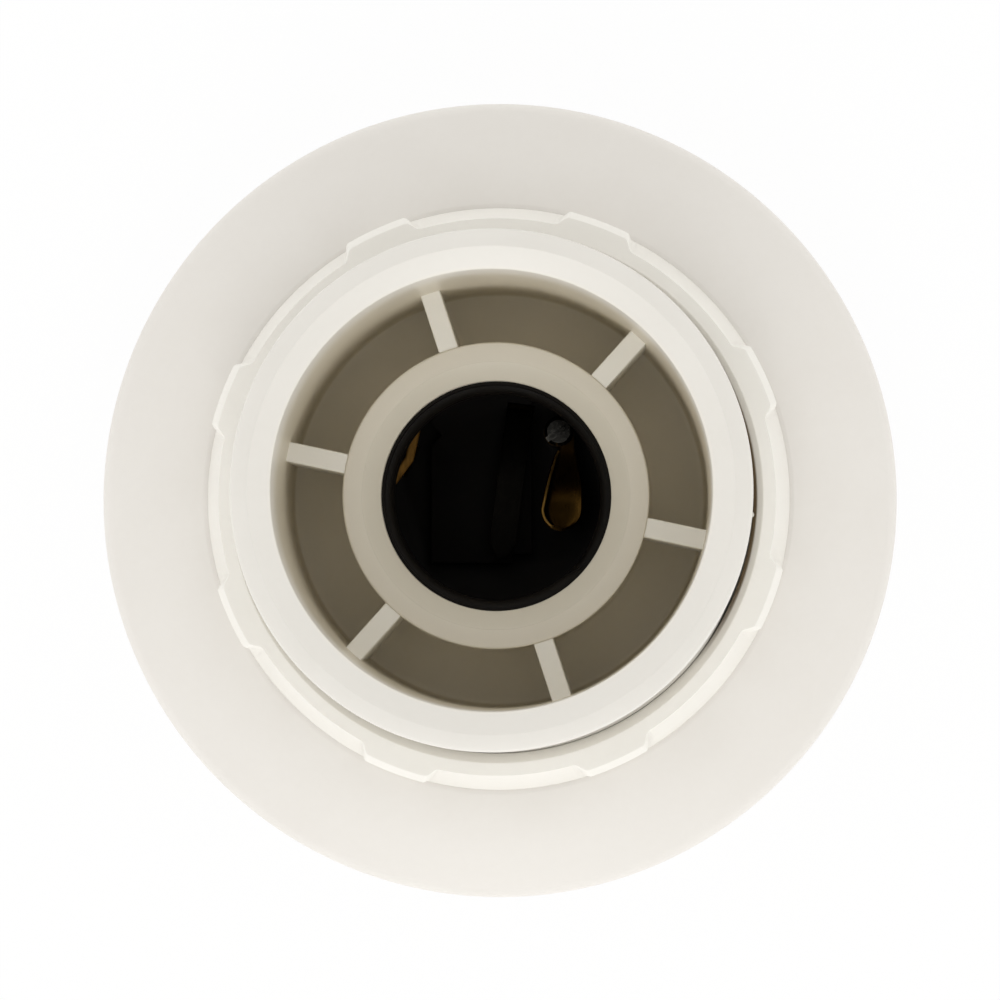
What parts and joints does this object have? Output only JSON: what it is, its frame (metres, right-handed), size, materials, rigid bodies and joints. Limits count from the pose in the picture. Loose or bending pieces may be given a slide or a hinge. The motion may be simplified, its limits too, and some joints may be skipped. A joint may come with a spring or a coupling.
{
  "type": "lamp holder",
  "caption": "Ceiling batten lamp holder for a screw lamp: domed cover, castellated shade ring, extended skirt with ribbed inner collar, black threaded insert and sprung brass contacts.",
  "frame": {"origin": "centre of the flat back face that lies against the ceiling", "axes": "+Z points out of the lamp mouth along the lamp axis; +X runs through one of the two slots for ceiling screws, +Y through one cable entry"},
  "size_m": [0.0964, 0.0964, 0.054],
  "materials": {
    "plate_white": "moulded thermoset, satin gloss",
    "cover_white": "moulded thermoset, satin gloss",
    "skirt_white": "moulded thermoset, satin gloss",
    "ring_white": "moulded thermoset, satin gloss",
    "insert_black": "black moulded phenolic",
    "plated_contact": "nickel plated strip",
    "brass_left": "stamped brass",
    "brass_right": "stamped brass",
    "screw_plated": "zinc plated",
    "brass_strap_a": "stamped brass",
    "brass_strap_n": "stamped brass",
    "screw_steel": "zinc plated",
    "brass_active": "machined brass",
    "screw_active": "zinc plated",
    "brass_neutral": "machined brass",
    "screw_neutral": "zinc plated",
    "brass_loop": "machined brass",
    "screw_loop": "zinc plated",
    "brass_earth": "machined brass",
    "screw_earth": "zinc plated"
  },
  "bodies": {
    "holder": {"mounting_plate": "plate_white", "base_cover": "cover_white", "skirted_barrel": "skirt_white", "thread_insert": "insert_black", "contact_screw": "screw_plated", "active_strap": "brass_strap_a", "neutral_strap": "brass_strap_n", "assembly_screws": "screw_steel", "active_terminal": "brass_active", "neutral_terminal": "brass_neutral", "loop_terminal": "brass_loop", "earth_terminal": "brass_earth"},
    "shade_ring": {"shade_ring": "ring_white"},
    "centre_contact": {"centre_contact": "plated_contact"},
    "side_contact_left": {"side_contact_left": "brass_left"},
    "side_contact_right": {"side_contact_right": "brass_right"},
    "active_terminal_screw": {"active_terminal_screw": "screw_active"},
    "neutral_terminal_screw": {"neutral_terminal_screw": "screw_neutral"},
    "loop_terminal_screw": {"loop_terminal_screw": "screw_loop"},
    "earth_terminal_screw": {"earth_terminal_screw": "screw_earth"}
  },
  "joints": [
    {"name": "ring_turn", "type": "hinge", "parent": "holder", "child": "shade_ring", "pos_m": [0, 0, 0.022], "axis": [0, 0, 1], "range_deg": [0, 740]},
    {"name": "centre_contact_flex", "type": "hinge", "parent": "holder", "child": "centre_contact", "pos_m": [0.00247, 0.01095, 0.00895], "axis": [0.9916, -0.1293, 0], "range_deg": [0, 5.5], "stiffness_Nm_per_rad": 0.4},
    {"name": "side_contact_left_flex", "type": "hinge", "parent": "holder", "child": "side_contact_left", "pos_m": [-0.01134, 0.00514, 0.0078], "axis": [-0.4131, -0.9107, 0], "range_deg": [0, 4], "stiffness_Nm_per_rad": 0.4},
    {"name": "side_contact_right_flex", "type": "hinge", "parent": "holder", "child": "side_contact_right", "pos_m": [0.0072, 0.0084, 0.00895], "axis": [1, 0, 0], "range_deg": [0, 5], "stiffness_Nm_per_rad": 0.4},
    {"name": "active_screw_advance", "type": "slide", "parent": "holder", "child": "active_terminal_screw", "axis": [0, 0, -1], "range_m": [0, 0.0024]},
    {"name": "neutral_screw_advance", "type": "slide", "parent": "holder", "child": "neutral_terminal_screw", "axis": [0, 0, -1], "range_m": [0, 0.0024]},
    {"name": "loop_screw_advance", "type": "slide", "parent": "holder", "child": "loop_terminal_screw", "axis": [0, 0, -1], "range_m": [0, 0.0024]},
    {"name": "earth_screw_advance", "type": "slide", "parent": "holder", "child": "earth_terminal_screw", "axis": [0, 0, -1], "range_m": [0, 0.0024]}
  ]
}
